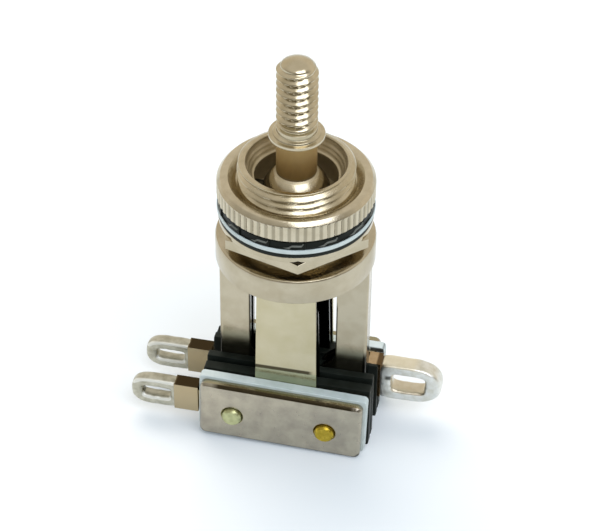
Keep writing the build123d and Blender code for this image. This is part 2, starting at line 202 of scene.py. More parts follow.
def place(piece, body, material, slot, *stands_for):
    """Give a new piece its finish and its body, and hide the solids that it stands for."""
    piece.data.materials.append(material)
    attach(piece, body)
    if stands_for:
        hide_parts(*stands_for)


def dressed(node, material, slot, edge, ends_at=None):
    """A solid's own shape again, merged into clean faces, with its edges rounded over.

    ends_at, where given, is the X at which the shape is cut off and closed, on the side
    away from the axis, because a piece of its own carries on from there.
    """
    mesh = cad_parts[node].data.copy()
    shell = bmesh.new()
    shell.from_mesh(mesh)
    bmesh.ops.remove_doubles(shell, verts=shell.verts, dist=SOLID_GAP)
    if ends_at is not None:
        cut = bmesh.ops.bisect_plane(
            shell,
            geom=[*shell.verts, *shell.edges, *shell.faces],
            plane_co=(ends_at * MM, 0, 0),
            plane_no=(np.sign(ends_at), 0, 0),
            clear_outer=True,
        )
        rim = [part for part in cut["geom_cut"] if isinstance(part, bmesh.types.BMEdge)]
        bmesh.ops.holes_fill(shell, edges=rim, sides=0)
    bmesh.ops.dissolve_limit(
        shell,
        angle_limit=FLAT_WITHIN,
        use_dissolve_boundaries=False,
        verts=shell.verts,
        edges=shell.edges,
        delimit={"NORMAL"},
    )
    shell.to_mesh(mesh)
    shell.free()
    mesh.materials.clear()
    mesh.shade_smooth()
    mesh.set_sharp_from_angle(angle=SOLID_SHARP)
    piece = new_object(node + "_dressed", mesh)
    rounding = piece.modifiers.new("rounded edges", "BEVEL")
    rounding.width = edge * MM
    rounding.segments = 2
    rounding.limit_method = "ANGLE"
    rounding.angle_limit = ROUNDED_FROM
    rounding.harden_normals = True
    place(piece, "switch_body", material, slot, node)


# ---------------------------------------------------------------- ways to make a material
CLOUD_ROUGHNESS = 0.55
SMEAR_SHARE = 0.45  # size of the smears in the gloss, next to the tarnish patches
DENT_SIZE = 1.3
MATT_EDGE = 0.1  # millimetres over which a rubbed place turns bright again
MATT_ROUGHNESS = 0.32  # added to the roughness where the plate is rubbed
FIBRE_CLOUD = 1.2
FIBRE_TOOTH = 0.12
TOOTH_DEPTH = 0.006


def linear(colour):
    """sRGB hex value as linear red, green, blue and an alpha of one."""
    channels = np.array([int(colour[i : i + 2], 16) for i in (0, 2, 4)]) / 255
    bright = ((channels + 0.055) / 1.055) ** 2.4
    return (*np.where(channels <= 0.04045, channels / 12.92, bright).tolist(), 1.0)


def add(tree, kind, sockets=(), **settings):
    """Add one node with its settings and give its outputs.

    Each socket gets a value or another node's output. sockets is either a mapping by the
    sockets' names or numbers, or the first ones in their order.
    """
    node = tree.nodes.new("ShaderNode" + kind)
    for key, value in settings.items():
        setattr(node, key, value)
    if not isinstance(sockets, dict):
        sockets = dict(enumerate(sockets))
    for key, value in sockets.items():
        if isinstance(value, bpy.types.NodeSocket):
            tree.links.new(value, node.inputs[key])
        else:
            node.inputs[key].default_value = value
    return node.outputs


def per_mm(size):
    """Texture scale at which one cell of a pattern is size millimetres across."""
    return 1 / (size * MM)


def start_material(name, metallic, roughness):
    """New material: its tree, its shader and where each point of the object is."""
    material = bpy.data.materials.new(name)
    material.use_nodes = True
    tree = material.node_tree
    shader = tree.nodes["Principled BSDF"]
    shader.inputs["Metallic"].default_value = metallic
    shader.inputs["Roughness"].default_value = roughness
    return material, tree, shader, add(tree, "TexCoord")["Object"]


def reach(tree, point):
    """Distance of a point from the Z axis: the length of what is left of it without Z."""
    flat = add(tree, "VectorMath", (point, (1, 1, 0)), operation="MULTIPLY")[0]
    return add(tree, "VectorMath", (flat,), operation="LENGTH")["Value"]


def plated(name, pale, dull, rough, cloud=1.8, grain=0.09, depth=0.004, wave=0.0, matt=None):
    """Nickel plate: a pale warm metal, clouded by handling, over a fine grain.

    cloud and grain are the sizes in millimetres of the tarnish patches and of the
    surface's grain, depth is the grain's height, and wave the height of slow dents. The
    real grain is finer, and is drawn as coarse as it needs to show. matt gives a distance
    from the axis and a height below which the plate is matt.
    """
    material, tree, shader, where = start_material(name, 1.0, rough)
    clouds = {"Vector": where, "Detail": 3.0, "Roughness": CLOUD_ROUGHNESS}
    tarnish = add(tree, "TexNoise", {**clouds, "Scale": per_mm(cloud)})[0]
    patches = add(tree, "MapRange", (tarnish, 0.35, 0.7, 0, 1))[0]
    colours = {0: patches, 6: linear(pale), 7: linear(dull)}
    colour = add(tree, "Mix", colours, data_type="RGBA")[2]
    tree.links.new(colour, shader.inputs["Base Color"])
    smear = add(tree, "TexNoise", {**clouds, "Scale": per_mm(cloud * SMEAR_SHARE)})[0]
    gloss = add(tree, "MapRange", (smear, 0.3, 0.75, rough * 0.8, rough * 1.35))[0]
    if matt:
        radius, top = matt
        side = (radius * MM, (radius + MATT_EDGE) * MM)
        inside = add(tree, "MapRange", (reach(tree, where), *side, 1, 0.2))[0]
        height = add(tree, "SeparateXYZ", (where,))["Z"]
        roof = (top * MM, (top + MATT_EDGE) * MM)
        below = add(tree, "MapRange", (height, *roof, MATT_ROUGHNESS, 0))[0]
        gloss = add(tree, "Math", (inside, below, gloss), operation="MULTIPLY_ADD")[0]
    tree.links.new(gloss, shader.inputs["Roughness"])
    tooth = add(tree, "TexNoise", {**clouds, "Scale": per_mm(grain), "Detail": 2.0})[0]
    surface = add(tree, "Bump", {"Height": tooth, "Distance": depth * MM})[0]
    if wave:
        dents = add(tree, "TexNoise", {**clouds, "Scale": per_mm(DENT_SIZE), "Detail": 1.0})[0]
        dented = {"Height": dents, "Distance": wave * MM, "Normal": surface}
        surface = add(tree, "Bump", dented)[0]
    tree.links.new(surface, shader.inputs["Normal"])
    return material


def moulded(name, main, worn, rough, shine=0.5):
    """Plastic or fibre sheet: one dull colour with cloudy wear and a fine tooth."""
    material, tree, shader, where = start_material(name, 0.0, rough)
    shader.inputs["Specular IOR Level"].default_value = shine
    clouds = {"Vector": where, "Roughness": CLOUD_ROUGHNESS}
    wear = add(tree, "TexNoise", {**clouds, "Scale": per_mm(FIBRE_CLOUD), "Detail": 4.0})[0]
    patches = add(tree, "MapRange", (wear, 0.35, 0.75, 0, 1))[0]
    colours = {0: patches, 6: linear(main), 7: linear(worn)}
    colour = add(tree, "Mix", colours, data_type="RGBA")[2]
    tree.links.new(colour, shader.inputs["Base Color"])
    gloss = add(tree, "MapRange", (patches, 0, 1, rough, rough * 1.25))[0]
    tree.links.new(gloss, shader.inputs["Roughness"])
    tooth = add(tree, "TexNoise", {**clouds, "Scale": per_mm(FIBRE_TOOTH), "Detail": 3.0})[0]
    surface = add(tree, "Bump", {"Height": tooth, "Distance": TOOTH_DEPTH * MM})[0]
    tree.links.new(surface, shader.inputs["Normal"])
    return material


def paint_stain_or_light(material, colour, strength, metal=1.0, **spans):
    """Let another colour take over from a material's own inside a span of places, for real stains
    and for painted light and shade alike.

    Each span is (from, to, soft edge). Those of x, y, z and radius, the distance from the
    axis, are in millimetres, and those of faces_y and faces_z are of the surface's outward
    normal. metal is how metallic the surface is where the other colour has taken over.
    """
    tree = material.node_tree
    shader = tree.nodes["Principled BSDF"]
    point = add(tree, "TexCoord")["Object"]
    where = add(tree, "SeparateXYZ", (point,))
    faces = add(tree, "SeparateXYZ", (add(tree, "NewGeometry")["True Normal"],))
    values = {"x": where["X"], "y": where["Y"], "z": where["Z"], "radius": reach(tree, point)}
    values.update(faces_y=faces["Y"], faces_z=faces["Z"])
    share = strength
    for key, (start, end, edge) in spans.items():
        unit = 1 if key.startswith("faces") else MM
        rise = ((start - edge) * unit, start * unit, 0, 1)
        fall = (end * unit, (end + edge) * unit, 1, 0)
        rising = add(tree, "MapRange", (values[key], *rise))[0]
        falling = add(tree, "MapRange", (values[key], *fall))[0]
        inside = add(tree, "Math", (rising, falling), operation="MULTIPLY")[0]
        share = add(tree, "Math", (inside, share), operation="MULTIPLY")[0]
    before = shader.inputs["Base Color"].links[0].from_socket
    colours = {0: share, 6: before, 7: linear(colour)}
    painted_over = add(tree, "Mix", colours, data_type="RGBA")[2]
    tree.links.new(painted_over, shader.inputs["Base Color"])
    if metal < 1:
        metallic = add(tree, "MapRange", (share, 0, 1, 1, metal))[0]
        tree.links.new(metallic, shader.inputs["Metallic"])


# Places that the stains and the painted light and shade below begin or end at.
LOWEST = FLOOR_Z - 7.5  # lower than any point
LEFTMOST = -30  # further left than any point
FACING = 2  # more than any normal's share
WINDOW_EDGE_X = 4.7  # the legs' inner edges
LEG_EDGE_X = 7.6  # just inside the legs' outer edges
WINDOW_SHADE_Z = FLOOR_Z + 16.5
STACK_TOP_Z = FLOOR_Z + 10.1
LEAF_SHADE_LINE_Z = FLOOR_Z + 9.38
LUG_ROOT_X = -9.0
LUG_FLUX_X = -12.2  # the flux ends here, at the solder
PLATE_END_X = 7
PLATE_TOP_Z = FLOOR_Z + 6.3
PLATE_FOOT_Z = FLOOR_Z + 1.3
COMMON_LUG_X = 8.8

# Nickel plate over turned brass: bright, a little yellow, with soft cloudy tarnish. The
# lever's is rubbed matt below the collar, and its bare shaft is brassy.
brass_plate = {"pale": "c6bba2", "dull": "b5a98d", "rough": 0.17}
lever_nickel = plated("nickel plate rubbed below", **brass_plate, matt=(2.2, COLLAR_FOOT_Z - 0.05))
bare_shaft = {"z": (0.9, COLLAR_FOOT_Z - 0.04, 0.3), "radius": (0, 2.07, 0.02)}
paint_stain_or_light(lever_nickel, "cdab68", 0.7, **bare_shaft)
# The bushing's is rubbed matt inside the bore.
bushing_nickel = plated("nickel plate rubbed inside", **brass_plate, matt=(5.1, 9))
# Nickel plate over pressed steel: satin, because the rolled sheet's tooth shows through.
satin_nickel = plated("nickel plate on pressed steel", "c2b8a1", "b3a88f", 0.15, cloud=2.6)
# The frame's plate: the same, with painted shade low down between the legs, on the legs' outer
# edges by the stack, and, fainter, where they meet the stack.
frame_nickel = plated("nickel plate on the frame", "bdb39d", "ada28a", 0.16, cloud=2.6)
inner_edges = (-WINDOW_EDGE_X, WINDOW_EDGE_X, 0.08)
# Painted shade between the legs low down, and fainter over the whole frame near the stack.
paint_stain_or_light(frame_nickel, "2b261b", 0.92, x=inner_edges, z=(LOWEST, WINDOW_SHADE_Z, 1.0))
paint_stain_or_light(frame_nickel, "4c4a3c", 0.6, z=(LOWEST, STACK_TOP_Z, 1.2))
# Painted shade on the legs' outer edges by the stack.
for outer_edge in ((LEG_EDGE_X, 9, 0.08), (-9, -LEG_EDGE_X - 0.1, 0.08)):
    paint_stain_or_light(frame_nickel, "12120c", 0.95, x=outer_edge, z=(LOWEST, STACK_TOP_Z + 0.1, 0.8))
# Knurled nut: pale plate, with painted shade in the knurl's grooves.
knurl_nickel = plated("nickel plate on the knurl", "cbc1aa", "bcb199", 0.18)
grooves = {"radius": (NUT_R - 0.4, NUT_R - 0.13, 0.07), "z": (LOWEST, -0.62, 0.05)}
paint_stain_or_light(knurl_nickel, "6c6450", 0.5, **grooves)
# Hexagon nut: satin plate, with painted shade on top of the corners that face front and rear, where
# the flat washer shades their chamfers.
hex_nickel = plated("nickel plate on the hexagon nut", "c2b8a1", "b3a88f", 0.2, cloud=2.6)
paint_stain_or_light(hex_nickel, "20190d", 0.95, faces_z=(0.8, FACING, 0.1), x=(-3, 3, 0.3))
# Rolled nickel silver spring strip: satin and yellower, with shallow dents.
spring_strip = plated("rolled nickel silver strip", "c6bda0", "beb494", 0.19, cloud=2.2, wave=0.002)
# Its lugs are tanned by the iron and dark flux lies on their upper edges. A painted shade line
# crosses the leaf above the stack, with a painted green reflection of the white insulator below it.
paint_stain_or_light(spring_strip, "a99574", 0.7, x=(LEFTMOST, LUG_ROOT_X, 0.2))
paint_stain_or_light(spring_strip, "2f2108", 0.95, x=(LUG_FLUX_X, LUG_ROOT_X, 0.3), faces_z=(0.5, FACING, 0.2))
# Painted green reflection of the white insulator on the leaf below the line.
paint_stain_or_light(spring_strip, "9da588", 0.7, x=(-4, 4, 0.1), z=(LOWEST, LEAF_SHADE_LINE_Z - 0.03, 0.1))
# Painted shade line across the leaf above the stack.
shade_line = (LEAF_SHADE_LINE_Z, LEAF_SHADE_LINE_Z + 0.32, 0.14)
paint_stain_or_light(spring_strip, "2e2716", 0.9, x=(-4, 2.3, 0.5), z=shade_line)
# The short leaves' strip: painted near black for the shade inside the stack, tan at the common lug,
# then brown flux.
short_strip = plated("tanned nickel silver strip", "bfa888", "ae9674", 0.2, cloud=1.2)
# Painted shade: near black inside the stack.
paint_stain_or_light(short_strip, "14150f", 1.0, x=(LEFTMOST, 6.6, 0.3))
paint_stain_or_light(short_strip, "4a3413", 0.85, x=(COMMON_LUG_X - 0.08, 9.6, 0.18))
# Clamp plate: nickel plate dulled grey by handling, tinted tan on its upper faces, with painted
# shade along its rolled lower edge and, darkest, a painted dark reflection along the front one's
# upper edge.
dull_nickel = plated("handled nickel plate", "b5ad9b", "a0988a", 0.22, cloud=1.6, depth=0.005)
paint_stain_or_light(dull_nickel, "a39d7e", 0.7, faces_z=(0.9, FACING, 0.05))
# Painted dark reflection along the front plate's upper edge.
top_edge = {
    "x": (-PLATE_END_X, PLATE_END_X + 0.2, 0.8),
    "y": (-6, -5.62, 0.05),
    "z": (PLATE_TOP_Z, PLATE_TOP_Z + 2.2, 0.1),
}
paint_stain_or_light(dull_nickel, "33280f", 0.93, faces_z=(0.2, FACING, 0.08), **top_edge)
# Painted shade along the lower edge.
lower_edge = {"faces_z": (-FACING, -0.1, 0.06), "z": (LOWEST, PLATE_FOOT_Z, 0.1)}
paint_stain_or_light(dull_nickel, "24251b", 0.93, **lower_edge)
# Tin-lead solder, frozen in soft lumps: matt and colourless, with a painted white highlight along
# its rounded front edges.
solder = plated("frozen tin solder", "c9c6b7", "a5a18f", 0.42, cloud=0.9, grain=0.3, depth=0.014)
faces_front = (-FACING, -0.3, 0.15)
paint_stain_or_light(solder, "f4f1e6", 0.8, metal=0.2, faces_z=(0.35, 0.8, 0.12), faces_y=faces_front)
# Fresh solder on the common lug: paler, with a frosty skin, warmer on top where the lug comes out,
# tan along the slot's lower side, and with a dark spot at the slot's near end.
fresh_solder = plated(
    "frosty tin solder", "e9e9e4", "d3d1c4", 0.36, cloud=0.8, grain=0.3, depth=0.02
)
faces_up = (0.5, FACING, 0.3)
lug_top = {"x": (COMMON_LUG_X, 12.6, 0.8), "z": (FLOOR_Z + 6.7, FLOOR_Z + 8.5, 0.2)}
paint_stain_or_light(fresh_solder, "f3e9cd", 0.6, **lug_top, faces_z=faces_up)
slot_side = (FLOOR_Z + 3.3, FLOOR_Z + 4.5, 0.2)
paint_stain_or_light(fresh_solder, "cdbc9a", 0.6, z=slot_side, faces_z=faces_up)
dark_spot = {"x": (9.75, 10.15, 0.25), "z": (FLOOR_Z + 5.4, FLOOR_Z + 5.7, 0.25)}
paint_stain_or_light(fresh_solder, "3c3d36", 0.9, **dark_spot, faces_y=(-FACING, -0.3, 0.2))
# Brass screw, bare and yellow where it was cut.
bare_brass = plated("cut brass screw", "bfa63e", "a8912f", 0.3, cloud=0.5, depth=0.006)
# Plated screw, pale and faintly green.
pale_brass = plated("plated brass screw", "c3c596", "a9ab80", 0.35, cloud=0.5, depth=0.006)
# Silver of the contacts: white and bright.
contact_silver = plated("polished contact silver", "dcdbd4", "c4c1b6", 0.18, cloud=0.4)
# Steel of the pivot pin: dark and drawn, with little shine.
drawn_steel = plated("dark drawn steel pin", "3f3a2e", "2f2b22", 0.4)
# Black oxide on the lock washer: nearly black, with a dull gleam on the pressed lines.
black_oxide = moulded("black oxide on spring steel", "10130e", "191d17", 0.3, 0.1)
# Vulcanised fibre of the spacers: black and matt.
black_fibre = moulded("vulcanised black fibre", "171b16", "222722", 0.45, 0.15)
# White nylon of the insulators and the washer: cold white, with painted shade on its face in the
# gap above the common lug.
white_nylon = moulded("white nylon sheet", "d3dad6", "c3ccc6", 0.42)
lug_gap_shade_z = (FLOOR_Z + 6.9, FLOOR_Z + 7.3, 0.12)
paint_stain_or_light(white_nylon, "23221a", 0.95, x=(LEG_EDGE_X, 8.9, 0.15), y=(3, 5, 0.1), z=lug_gap_shade_z)
# Natural nylon of the cam: warm white and soft.
cam_nylon = moulded("natural nylon moulding", "ddd8c6", "cdc6b0", 0.4)

# ---------------------------------------------------------------- threads
CREST_ROUNDING = 0.02  # how round the crests are: the square of the hyperbola's half axis


def thread_groove(angle, height):
    """Depth of a right-hand screw thread, 0 on its crests to 1 in its groove.

    The phase rises by one with each pitch of height and falls by one with each turn. The
    flanks are straight, and the crest is a hyperbola between them.
    """
    phase = height / THREAD_PITCH - angle / FULL_TURN
    off_crest = np.abs(2 * (phase - np.floor(phase)) - 1)
    lowest, highest = np.sqrt(CREST_ROUNDING), np.sqrt(1 + CREST_ROUNDING)
    return (np.sqrt(off_crest**2 + CREST_ROUNDING) - lowest) / (highest - lowest)


def eased(value, start, end):
    """Smooth step from 0 at start to 1 at end."""
    share = np.clip((value - start) / (end - start), 0, 1)
    return share**2 * (3 - 2 * share)


# ---------------------------------------------------------------- lever
SHAFT_R = 2.05
NECK_R = 1.74
COLLAR_R = 2.82
COLLAR_STEP_R = 2.38
STEM_R = 1.2
STEM_END_R = 0.8
TIP_R = 1.5
THREAD_TOP, THREAD_FOOT = 12.8, 6.65
ARC_STEPS = 40
POINTS_ROUND_LEVER = 97


def lever_outline():
    """Half outline of the lever from its domed end down to the end inside the cam.

    The end is a parabola, r squared falling away from the tip; the ball is an arc about
    the pivot between the shaft and the stem.
    """
    dome = np.linspace(0, 1, 9)
    tip = np.stack([TIP_R * dome, LEVER_TOP - 0.5 * dome**2], 1)
    top = np.arcsin(SHAFT_R / BALL_R)
    bottom = np.pi - np.arcsin(STEM_R / BALL_R)
    arc = np.linspace(top, bottom, ARC_STEPS)
    ball = np.stack([BALL_R * np.sin(arc), PIVOT_Z + BALL_R * np.cos(arc)], 1)
    upper = [
        (TIP_R, 13.4),
        (LEVER_THREAD_R, THREAD_TOP),
        (LEVER_THREAD_R, THREAD_FOOT),
        (NECK_R, 6.4),
        (NECK_R, 6.2),
        (SHAFT_R, 6.1),
        (SHAFT_R, 5.56),
        (COLLAR_STEP_R, 5.44),
        (COLLAR_STEP_R, 5.25),
        (COLLAR_R, 5.25),
        (COLLAR_R, COLLAR_FOOT_Z),
        (SHAFT_R, COLLAR_FOOT_Z),
        tuple(ball[0]),
    ]
    lower = [
        tuple(ball[-1]),
        (STEM_R, -9.64),
        (STEM_END_R, -9.64),
        (STEM_END_R, LEVER_FOOT),
        (0, LEVER_FOOT),
    ]
    return np.vstack([tip[:-1], soften(upper, 0.07), ball[1:-1], soften(lower, 0.1)])


def lever_thread(radius, angle, height):
    """Radius with the lever's thread cut in, fading out at its two ends."""
    share = eased(height, THREAD_FOOT - 0.1, THREAD_FOOT + 0.25)
    share = share * eased(height, THREAD_TOP + 0.5, THREAD_TOP + 0.1)
    return radius - THREAD_DEPTH * share * thread_groove(angle, height)


lever_profile = refine(lever_outline(), 0.055, 6.4, 13.4)
lever_angles = np.linspace(0, FULL_TURN, POINTS_ROUND_LEVER)
lever_points = turn(lever_profile, lever_angles, lever_thread)
lever = grid_piece("toggle_lever_turned", lever_points)
place(lever, "lever", lever_nickel, "nickel_plated_brass", "toggle_lever")

# ---------------------------------------------------------------- bushing
SEAT_GAP = 0.06  # room between the ball and its seat
SEAT_TOP = 0.86  # the seat ends this much under the pivot
RIVET_R = 4.3  # the foot spread under the frame's cup
CUP_HOLE_R = 4.0
CUP_PLATE = 0.85
SHOULDER_R = 6.3
BORE_RING_R = 4.22
WELL_R = 4.75
BORE_RING_LENGTH = 0.42
BORE_RING_DEPTH = 0.014
POINTS_ROUND_BUSHING = 181


def bushing_outline():
    """Closed half outline of the bushing: seat, foot, shoulder, thread, rim and bore."""
    seat = np.linspace(2.0, SEAT_TOP, 9)
    seat_r = BALL_R + SEAT_GAP
    cup = np.stack([np.sqrt(seat_r**2 - seat**2), PIVOT_Z - seat], 1)
    corners = [
        tuple(cup[0]),
        (3.35, BUSH_FOOT),
        (RIVET_R, BUSH_FOOT),
        (RIVET_R, CUP_Z - CUP_PLATE),
        (CUP_HOLE_R, CUP_Z - CUP_PLATE),
        (CUP_HOLE_R, CUP_Z),
        (SHOULDER_R, CUP_Z),
        (SHOULDER_R, HEX_BOTTOM),
        (BUSH_HELD_R, HEX_BOTTOM),
        (BUSH_HELD_R, -0.75),
        (BUSH_R, -0.65),
        (BUSH_R, RIM_Z - 0.28),
        (BUSH_R - 0.28, RIM_Z),
        (5.2, RIM_Z),
        (5.07, RIM_Z - 0.13),
        (5.02, RIM_Z - 0.5),
        (4.42, 0.12),
        (BORE_RING_R, 0.05),
        (BORE_RING_R, -0.2),
        (WELL_R, -0.5),
        (WELL_R, PIVOT_Z - SEAT_TOP),
        tuple(cup[-1]),
    ]
    return np.vstack([soften(corners, 0.06), cup[::-1][1:]])


def bushing_cuts(radius, angle, height):
    """Radius with the outer thread cut in, and fine turned rings in the bore.

    The thread is cut outside a radius of 5.6 and above the nuts. The rings are a cosine of
    the height, inside a radius of 5.05.
    """
    outer = eased(radius, 5.5, 5.6) * eased(height, -1.0, -0.7)
    cut = THREAD_DEPTH * outer * thread_groove(angle, height)
    bore = eased(radius, 5.15, 5.05) * eased(height, 0.1, 0.3)
    rings = BORE_RING_DEPTH * (1 - np.cos(FULL_TURN * height / BORE_RING_LENGTH))
    return radius - cut + bore * rings


bushing_profile = refine(bushing_outline(), 0.06, -1.1, RIM_Z)
bushing_angles = np.linspace(0, FULL_TURN, POINTS_ROUND_BUSHING)
bushing_points = turn(bushing_profile, bushing_angles, bushing_cuts)
bushing = grid_piece("threaded_bushing_turned", bushing_points)
place(bushing, "switch_body", bushing_nickel, "nickel_plated_brass", "threaded_bushing")

# ---------------------------------------------------------------- knurled nut
KNURL_RIDGES = 63
KNURL_DEPTH = 0.16
POINTS_PER_RIDGE = 12
NUT_BORE = BUSH_HELD_R + 0.02


def knurl(radius, angle, height):
    """Radius held under the straight knurl: soft ridges, a cosine of the turn.

    The grooves between them run out below the chamfer.
    """
    groove = 0.5 - 0.5 * np.cos(KNURL_RIDGES * angle)
    return np.minimum(radius, NUT_R - KNURL_DEPTH * groove * eased(height, -0.46, -0.66))


nut_outline = soften(
    [
        (NUT_BORE, -1.5),
        (NUT_BORE, NUT_BOTTOM),
        (NUT_R - 0.25, NUT_BOTTOM),
        (NUT_R, NUT_BOTTOM + 0.22),
        (NUT_R, -0.8),
        (NUT_R, -0.47),
        (NUT_R - 0.42, 0),
        (NUT_R - 1.1, 0),
        (6.1, -0.55),
        (NUT_BORE, -0.55),
        (NUT_BORE, -1.5),
    ],
    0.1,
)
knurl_angles = np.linspace(0, FULL_TURN, KNURL_RIDGES * POINTS_PER_RIDGE + 1)
knurled_nut = grid_piece("knurled_nut_turned", turn(nut_outline, knurl_angles, knurl), sharp=30)
place(knurled_nut, "switch_body", knurl_nickel, "nickel_plated_steel", "knurled_nut")

# ---------------------------------------------------------------- washers
WASHER_GAP = 0.1
FLAT_INSET = 0.36  # the flat washer's rim lies this much inside its solid's
FIBRE_INSET = 0.1
POINTS_ROUND_WASHER = 145
SEAT_DROP = 0.22  # the hexagon nut's top face lies this much under its solid's


def washer(node, material, slot, edge, inset=0.0, deeper=0.0):
    """Flat ring turned from a rectangle, with rounded edges.

    It is as large as its solid but for inset, by which its rim lies further in, and
    deeper, by which its lower face lies further down.
    """
    low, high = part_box(node)
    outer, top, bottom = high.x / MM - inset, high.z / MM, low.z / MM - deeper
    inner = BUSH_R + WASHER_GAP
    middle = (top + bottom) / 2
    corners = [(inner, middle), (inner, bottom), (outer, bottom), (outer, top), (inner, top)]
    outline = soften(corners + [(inner, middle)], edge)
    points = turn(outline, np.linspace(0, FULL_TURN, POINTS_ROUND_WASHER))
    ring = grid_piece(node + "_turned", points)
    place(ring, "switch_body", material, slot, node)


washer("white_washer", white_nylon, "white_nylon", 0.08)
washer("fibre_washer", black_fibre, "black_fibre", 0.06, FIBRE_INSET)
washer("flat_washer", satin_nickel, "nickel_plated_steel", 0.04, FLAT_INSET, SEAT_DROP)

# ---------------------------------------------------------------- lock washer
low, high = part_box("lock_washer")
LOCK_LOW, LOCK_HIGH = low.z / MM + 0.01, high.z / MM - 0.03
LOCK_TEETH = 14
LOCK_R = 7.97
LOCK_BORE = 6.1
LOCK_TURN = radians(7)
LOCK_RELIEF = 0.17


def lock_shape():
    """Spring washer whose rim is pressed into slanting teeth.

    Below a line that runs along each tooth and hooks up at its end the rim stands out a
    little; the line's height is a sum of eased steps of the share of the tooth's turn.
    """
    middle = (LOCK_LOW + LOCK_HIGH) / 2
    corners = [
        (LOCK_BORE, middle),
        (LOCK_BORE, LOCK_LOW),
        (LOCK_R, LOCK_LOW),
        (LOCK_R, LOCK_HIGH),
        (LOCK_BORE, LOCK_HIGH),
        (LOCK_BORE, middle),
    ]
    outline = refine(soften(corners, 0.05), 0.03, LOCK_LOW + 0.05, LOCK_HIGH - 0.05)
    steps = np.r_[np.linspace(0, 0.16, 5), 0.25, 0.33, np.linspace(0.37, 0.56, 14), 0.7, 0.85]
    angle = (np.arange(LOCK_TEETH)[:, None] + steps).ravel() * FULL_TURN / LOCK_TEETH
    angle = np.r_[angle, angle[0] + FULL_TURN][:, None]
    share = np.mod(angle * LOCK_TEETH / FULL_TURN + 1e-9, 1)
    line = 0.42 * eased(share, 0, 0.14) - 0.1 * share + 0.5 * eased(share, 0.38, 0.47)
    line = (line + 0.12) * eased(share, 0.5, 0.485)
    radius, height = outline[None, :, 0], outline[None, :, 1]
    above = (height - LOCK_LOW) / (LOCK_HIGH - LOCK_LOW) - line
    radius = np.minimum(radius, LOCK_R - LOCK_RELIEF * eased(above, -0.06, 0.12))
    return carried_round(radius, angle - LOCK_TURN, height)


lock_washer = grid_piece("lock_washer_twisted", lock_shape(), sharp=30)
# Painted highlight on the upward slopes of its pressed lines.
line_z = (LOCK_LOW + 0.12, LOCK_HIGH - 0.1, 0.05)
line_r = (LOCK_R - 0.15, LOCK_R - 0.02, 0.02)
paint_stain_or_light(black_oxide, "7d7d74", 0.85, z=line_z, radius=line_r, faces_z=(0.2, FACING, 0.1))
place(lock_washer, "switch_body", black_oxide, "black_steel", "lock_washer")

# ---------------------------------------------------------------- hexagon nut
HEX_ACROSS_FLATS = 14.29
HEX_TURN = radians(13.3)
POINTS_PER_SIDE = 40
CHAMFER_R = 7.72
CHAMFER_SLOPE = 0.3
CHAMFER_LIP = 0.02


def hex_shape():
    """Hexagon nut whose upper corners are cut by a shallow cone.

    The side stands at the apothem over the cosine of the turn from a flat's middle, and
    its upper edge drops by the cone's slope times how far it stands outside CHAMFER_R.
    """
    turned = np.linspace(0, FULL_TURN, 6 * POINTS_PER_SIDE + 1)
    sixth = FULL_TURN / 6
    from_flat = np.mod(turned + 1e-9, sixth) - sixth / 2
    side = HEX_ACROSS_FLATS / 2 / np.cos(from_flat)
    drop = CHAMFER_SLOPE * np.maximum(side - CHAMFER_R, 0)
    level = np.zeros_like(turned)
    top = HEX_TOP - SEAT_DROP
    rows = [
        (NUT_BORE + level, HEX_BOTTOM + level),
        (side, HEX_BOTTOM + level),
        (side, top - drop - CHAMFER_LIP),
        (side - CHAMFER_LIP, top - drop),
        (np.minimum(side - CHAMFER_LIP, CHAMFER_R), top + level),
        (NUT_BORE + level, top + level),
        (NUT_BORE + level, HEX_BOTTOM + level),
    ]
    radius, height = np.array(rows).transpose(1, 2, 0)
    return carried_round(radius, (turned + HEX_TURN - FULL_TURN / 4)[:, None], height)


hex_nut = grid_piece("hex_nut_turned", hex_shape(), sharp=12)
place(hex_nut, "switch_body", hex_nickel, "nickel_plated_steel", "hex_nut")

# ---------------------------------------------------------------- frame and stack
LUG_JOIN_X = -12.4  # the solder carries on from here
COMMON_JOIN_X = 9.15

dressed("frame", frame_nickel, "nickel_plated_steel", 0.05)
for side in ("front", "rear"):
    dressed(side + "_clamp_plate", dull_nickel, "nickel_plated_steel", 0.16)
    dressed(side + "_end_insulator", white_nylon, "white_nylon", 0.1)
    dressed(side + "_outer_spacer", black_fibre, "black_fibre", 0.06)
    dressed(side + "_inner_spacer", black_fibre, "black_fibre", 0.06)
    dressed(side + "_long_leaf", spring_strip, "nickel_silver", 0.07, ends_at=LUG_JOIN_X)
dressed("front_short_leaf", short_strip, "nickel_silver", 0.07)
dressed("rear_short_leaf", short_strip, "nickel_silver", 0.07, ends_at=COMMON_JOIN_X)
dressed("left_screw", pale_brass, "brass", 0.06)
dressed("right_screw", bare_brass, "brass", 0.06)

# ---------------------------------------------------------------- solder on the lugs
LUMP_WAVES = 14
SLOT_POWER = 5.0
POINTS_ROUND_LOOP = 241
POINTS_ROUND_SECTION = 57


def lumps(loop_turn, section_turn, seed):
    """Smooth lumps, about -1 to 1: a sum of sines of both turns with seeded phases."""
    dice = np.random.default_rng(seed)
    along, across = dice.integers(1, 15, LUMP_WAVES), dice.integers(0, 4, LUMP_WAVES)
    phase = dice.uniform(0, FULL_TURN, LUMP_WAVES)
    waves = np.sin(along * loop_turn[..., None] + across * section_turn[..., None] + phase)
    return waves.sum(-1) / np.sqrt(LUMP_WAVES)


def centre_and_half(span):
    """Middle and half length of a span."""
    return sum(span) / 2, (span[1] - span[0]) / 2


